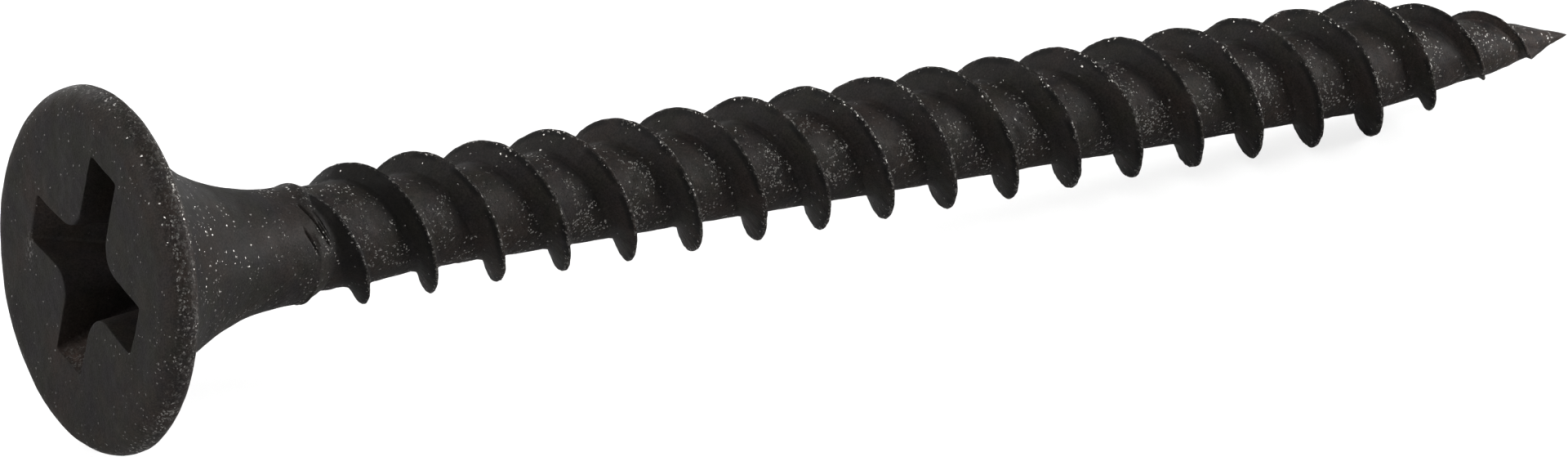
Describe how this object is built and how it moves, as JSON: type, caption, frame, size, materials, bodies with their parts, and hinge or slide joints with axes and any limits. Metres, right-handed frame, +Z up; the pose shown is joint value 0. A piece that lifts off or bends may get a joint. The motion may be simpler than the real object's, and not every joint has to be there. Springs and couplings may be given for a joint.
{
  "type": "wood screw",
  "caption": "Bugle-head screw with a cross recess, a plain neck, a coarse twin-start thread and a gimlet point, phosphated black.",
  "frame": {"origin": "centre of the flat face of the head", "axes": "+X along the screw's axis from the head to the point, +Z up; the recess and the thread are turned as in the reference view"},
  "size_m": [0.0447, 0.0088, 0.0088],
  "materials": {
    "black_phosphate": "hardened steel wire with a dry, fine-grained black phosphate coat"
  },
  "bodies": {
    "root": {"head": "black_phosphate", "neck": "black_phosphate", "core": "black_phosphate", "thread_first": "black_phosphate", "thread_second": "black_phosphate", "point": "black_phosphate"}
  },
  "joints": []
}
